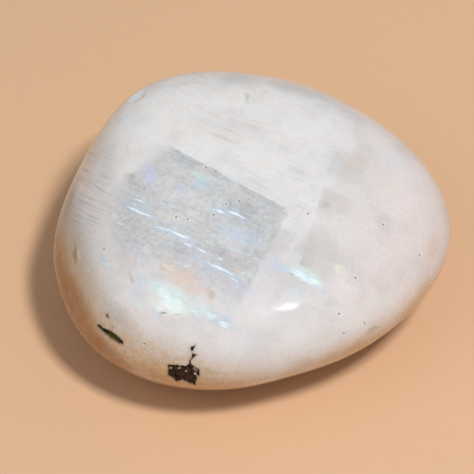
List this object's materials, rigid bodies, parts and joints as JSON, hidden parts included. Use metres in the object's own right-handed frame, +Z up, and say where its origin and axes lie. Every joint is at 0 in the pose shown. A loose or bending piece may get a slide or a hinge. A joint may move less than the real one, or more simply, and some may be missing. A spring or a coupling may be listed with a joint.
{
  "type": "tumbled moonstone",
  "caption": "Polished pebble of pale, cloudy moonstone with a blue-grey sheen and small dark mineral grains, lying on a flat foot.",
  "frame": {"origin": "middle of the stone's footprint, on the surface that it lies on", "axes": "+X along the stone's longest side, towards its narrow end; +Y towards its thick back; +Z up, along its shortest side"},
  "size_m": [0.03, 0.0286, 0.013],
  "materials": {
    "moonstone": "tumbled to a soft polish; cloudy white with a blue-grey sheen, and dark brown mineral in small pits"
  },
  "bodies": {
    "root": {"moonstone": "moonstone"}
  },
  "joints": []
}
